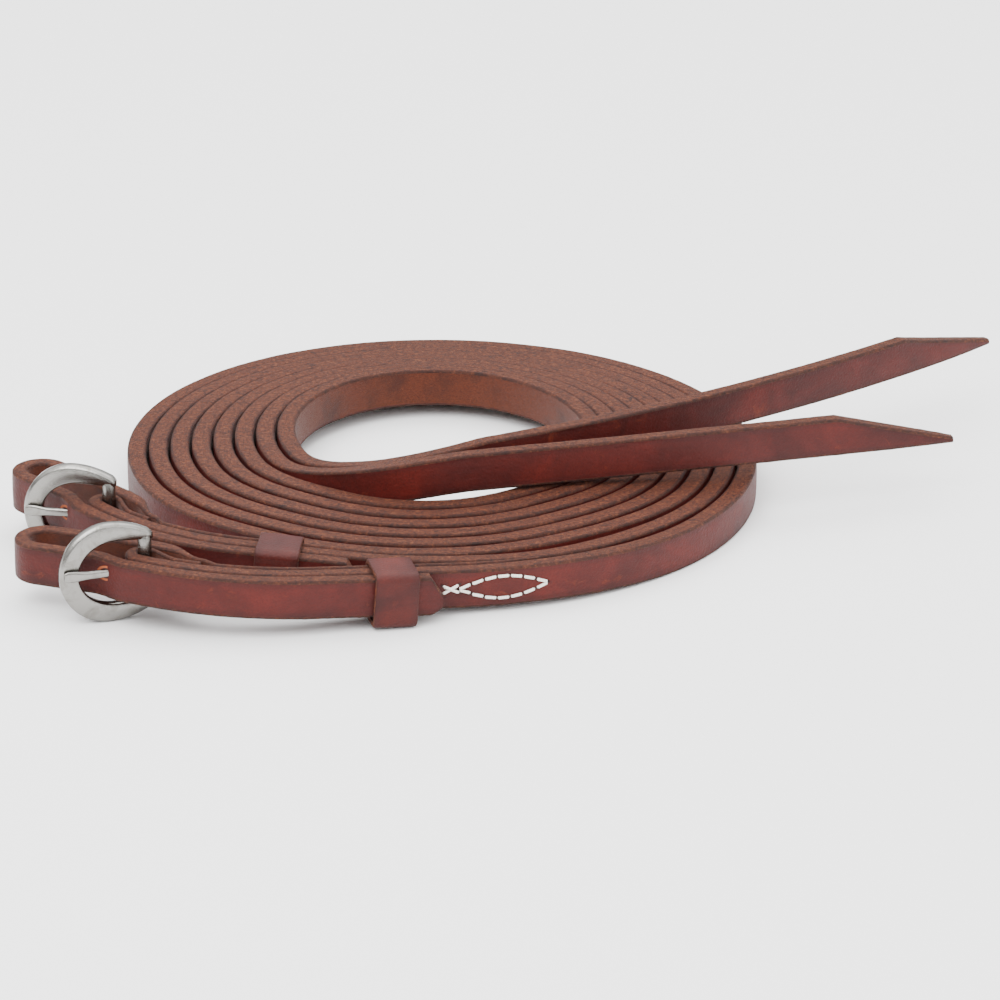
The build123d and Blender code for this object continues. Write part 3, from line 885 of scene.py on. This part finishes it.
def fish_stitch(name, rein):
    """Thread in the outline of a fish, each stitch dipping into its needle holes, drawn as dark ovals
    of painted shade.
    """
    start = BILLET_TIP_RUN[rein] - 0.5
    threads = []
    hole_shades = []
    for count, (run, up, slant, length) in enumerate(stitch_places()):
        x, y, height, heading = end_station(start - run, rein, HALF + 0.12)
        along = Vector((cos(heading), sin(heading), 0))
        out = Vector((sin(heading), -cos(heading), 0))
        rise = Vector((0, 0, 1))
        turn = radians(slant)
        line = along * cos(turn) + rise * sin(turn)
        side = rise * cos(turn) - along * sin(turn)
        middle = Vector((x, y, height + up))
        lift = 0.12 if count == 1 else 0.0
        rings = []
        for step in range(25):
            share = -1 + step / 12
            radius = THREAD_RADIUS * (1 - 0.55 * max(abs(share) - 0.72, 0.0) / 0.28)
            sink = 0.12 - 0.6 * smooth((abs(share) - 0.7) / 0.3) + lift
            centre = middle + line * (share * length / 2) + out * sink
            twist = share * length * 1.9
            ring = []
            for corner in range(16):
                angle = 2 * pi * corner / 16
                ply = radius * (1 + 0.13 * cos(3 * (angle + twist)))
                ring.append(tuple(centre + side * (ply * cos(angle) * 1.1) + out * (ply * sin(angle))))
            rings.append(ring)
        threads.append(skin(rings))
        # Dark ovals at both ends of the stitch: painted shade for the needle holes.
        for end in (-1, 1):
            centre = middle + line * (end * (length / 2 + 0.05)) - out * 0.02
            rim = [
                tuple(centre + (line * cos(pi * step / 8) * 0.62 + side * sin(pi * step / 8) * 0.5))
                for step in range(16)
            ]
            hole_shades.append((rim, [tuple(range(16))]))
    thread_count = sum(len(faces) for vertices, faces in threads)
    vertices, faces = joined(threads + hole_shades)
    piece = mesh_object(name, vertices, faces)
    piece.data.materials.append(THREAD)
    piece.data.materials.append(HOLE_SHADE)
    indices = [0] * thread_count + [1] * (len(faces) - thread_count)
    piece.data.polygons.foreach_set("material_index", indices)
    set_coords(piece, [(vertex[0] / 5, vertex[2] / 5) for vertex in vertices])
    return piece


def punched_hole(name, rein):
    """The worn, paler rim, and painted shade for the dark inside of the hole that the tongue comes out
    of.
    """
    matrix = buckle_matrix(rein)
    tip = matrix @ Vector((TONGUE_HOLE_MIDDLE, -STRAP_BELOW_MIDDLE, TONGUE_LINE))
    best = None
    for run in evenly(bar_run(rein), bar_run(rein) + 22.0, 0.25):
        x, y, height, heading = billet_station(run, rein)
        out = Vector((sin(heading), -cos(heading), 0))
        along = Vector((cos(heading), sin(heading), 0))
        face = Vector((x, y, tip.z)) + out * (HALF + 0.1)
        shank = matrix.inverted() @ face
        gap = abs(shank.z - TONGUE_LINE - 0.3)
        if best is None or gap < best[0]:
            best = (gap, face, out, along)
    gap, face, out, along = best
    up = Vector((0, 0, 1))
    parts = []
    # The larger oval is the worn rim; the smaller one is painted shade for the inside of the hole.
    for half_length, half_height, lift in ((3.1, 2.5, 0.04), (2.3, 1.75, 0.10)):
        rim = oval(face + out * lift, along * half_length, up * half_height)
        inner_middle = face + out * (lift + 0.05)
        inner = oval(inner_middle, along * (half_length * 0.7), up * (half_height * 0.7))
        faces = [(step, (step + 1) % 32, 32 + (step + 1) % 32, 32 + step) for step in range(32)]
        parts.append((rim + inner, faces + [tuple(range(32, 64))]))
    vertices, faces = joined(parts)
    piece = mesh_object(name, vertices, faces)
    piece.data.materials.append(WORN_RIM)
    piece.data.materials.append(HOLE_SHADE)
    piece.data.polygons.foreach_set("material_index", [0] * 33 + [1] * 33)
    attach(piece, "straps")


def oval(middle, first, second):
    """32 points round an oval with these two half axes."""
    turns = [pi * step / 16 for step in range(32)]
    return [tuple(middle + first * cos(turn) + second * sin(turn)) for turn in turns]


def place(piece, body, node, slot):
    """The piece rides on its body and stands for its CAD node, which is hidden. The slot is not used.
    """
    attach(piece, body)
    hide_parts(node)


def build_reins():
    """Every visible piece of both reins."""
    for rein_name, rein in REINS:
        side = rein_name.split("_")[0]
        made = strap(rein_name + "_leather", rein_stations(rein), 11.0 + rein * 7)
        place(made, "straps", rein_name + "_strap", "strap_leather")
        made = strap(rein_name + "_bit_leather", bit_stations(rein), 31.0 + rein * 7)
        place(made, "straps", rein_name + "_bit_strap", "strap_leather")
        made = buckle_frame(rein_name + "_buckle", rein)
        place(made, side + "_frame", rein_name + "_buckle_frame", "buckle_steel")
        made = buckle_tongue(rein_name + "_tongue", rein)
        place(made, side + "_tongue", rein_name + "_buckle_tongue", "buckle_steel")
        made = keeper(rein_name + "_keeper_band", rein)
        place(made, side + "_keeper", rein_name + "_keeper", "keeper_leather")
        punched_hole(rein_name + "_tongue_hole", rein)
        made = fish_stitch(rein_name + "_thread", rein)
        place(made, "straps", rein_name + "_fish_stitch", "stitch_thread")


def studio():
    """Pale floor, soft lights and the camera."""
    mesh = bpy.data.meshes.new("floor")
    reach = 30.0
    corners = [(-reach, -reach, 0), (reach, -reach, 0), (reach, reach, 0), (-reach, reach, 0)]
    mesh.from_pydata(corners, [], [(0, 1, 2, 3)])
    floor = bpy.data.objects.new("floor", mesh)
    bpy.context.scene.collection.objects.link(floor)
    shader = Shader("floor_white")
    floor.data.materials.append(shader.finish((0.93, 0.93, 0.93, 1.0), 0.9))
    world = bpy.data.worlds.new("studio")
    bpy.context.scene.world = world
    world.use_nodes = True
    nodes = world.node_tree.nodes
    links = world.node_tree.links
    direction = nodes.new("ShaderNodeTexCoord")
    height = nodes.new("ShaderNodeSeparateXYZ")
    links.new(direction.outputs["Generated"], height.inputs[0])
    rise = nodes.new("ShaderNodeMapRange")
    links.new(height.outputs["Z"], rise.inputs["Value"])
    rise.inputs["From Min"].default_value = 0.05
    rise.inputs["From Max"].default_value = 0.75
    rise.inputs["To Min"].default_value = HORIZON_LIGHT
    rise.inputs["To Max"].default_value = SKY_LIGHT
    links.new(rise.outputs[0], nodes["Background"].inputs["Strength"])
    nodes["Background"].inputs["Color"].default_value = (1.0, 1.0, 1.0, 1.0)
    soft_light("key", (-0.5, -0.7, 1.1), 0.9, 16.0)
    soft_light("top", (0.1, 0.35, 1.3), 1.3, 12.0)
    soft_light("fill", (0.9, -0.9, 0.5), 0.8, 5.0)
    data = bpy.data.cameras.new("camera")
    data.lens = CAMERA_LENS
    data.shift_x, data.shift_y = CAMERA_SHIFT
    data.clip_end = 100.0
    camera = bpy.data.objects.new("camera", data)
    bpy.context.scene.collection.objects.link(camera)
    target = Vector((COIL_CENTRE[0] * MM, COIL_CENTRE[1] * MM, 0))
    back = Vector((0, -cos(CAMERA_ELEVATION), sin(CAMERA_ELEVATION)))
    camera.location = target + back * CAMERA_DISTANCE
    camera.rotation_euler = (pi / 2 - CAMERA_ELEVATION, 0, 0)
    bpy.context.scene.camera = camera


def soft_light(name, place_m, size, power):
    """A square soft light aimed at the middle of the reins."""
    data = bpy.data.lights.new(name, "AREA")
    data.size = size
    data.energy = power
    light = bpy.data.objects.new(name, data)
    bpy.context.scene.collection.objects.link(light)
    light.location = place_m
    light.rotation_euler = Vector(place_m).to_track_quat("Z", "Y").to_euler()


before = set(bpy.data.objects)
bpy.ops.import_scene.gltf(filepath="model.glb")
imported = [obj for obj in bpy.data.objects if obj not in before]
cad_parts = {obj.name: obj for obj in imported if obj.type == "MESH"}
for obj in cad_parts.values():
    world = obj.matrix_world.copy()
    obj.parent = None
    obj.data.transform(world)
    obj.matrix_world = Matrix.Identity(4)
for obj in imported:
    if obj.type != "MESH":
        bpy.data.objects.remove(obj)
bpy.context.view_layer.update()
RED_BROWN = linear(80, 21, 15)
MAROON = linear(54, 12, 9)
PULL_UP = linear(98, 38, 20)
STRAP_GRAIN = grain_leather("strap_grain", RED_BROWN, MAROON, PULL_UP, 0.62)
CUT_EDGE = cut_leather("cut_edge")
FLESH_SIDE = flesh_leather("flesh_side")
KEEPER_BROWN = linear(80, 25, 18)
KEEPER_DARK = linear(54, 15, 12)
KEEPER_PATCH = linear(98, 40, 24)
KEEPER_GRAIN = grain_leather("keeper_grain", KEEPER_BROWN, KEEPER_DARK, KEEPER_PATCH, 0.62)
LEATHER = (STRAP_GRAIN, CUT_EDGE, FLESH_SIDE)
KEEPER_LEATHER = (KEEPER_GRAIN, CUT_EDGE, FLESH_SIDE)
STEEL = steel("buckle_steel")
THREAD = thread_material("white_thread")
# Painted shade for the insides of the needle holes and of the tongue's hole.
HOLE_SHADE = plain("painted_hole_shade", linear(46, 20, 18), 0.9)
WORN_RIM = plain("worn_rim", linear(150, 74, 38), 0.8)
build_reins()
studio()
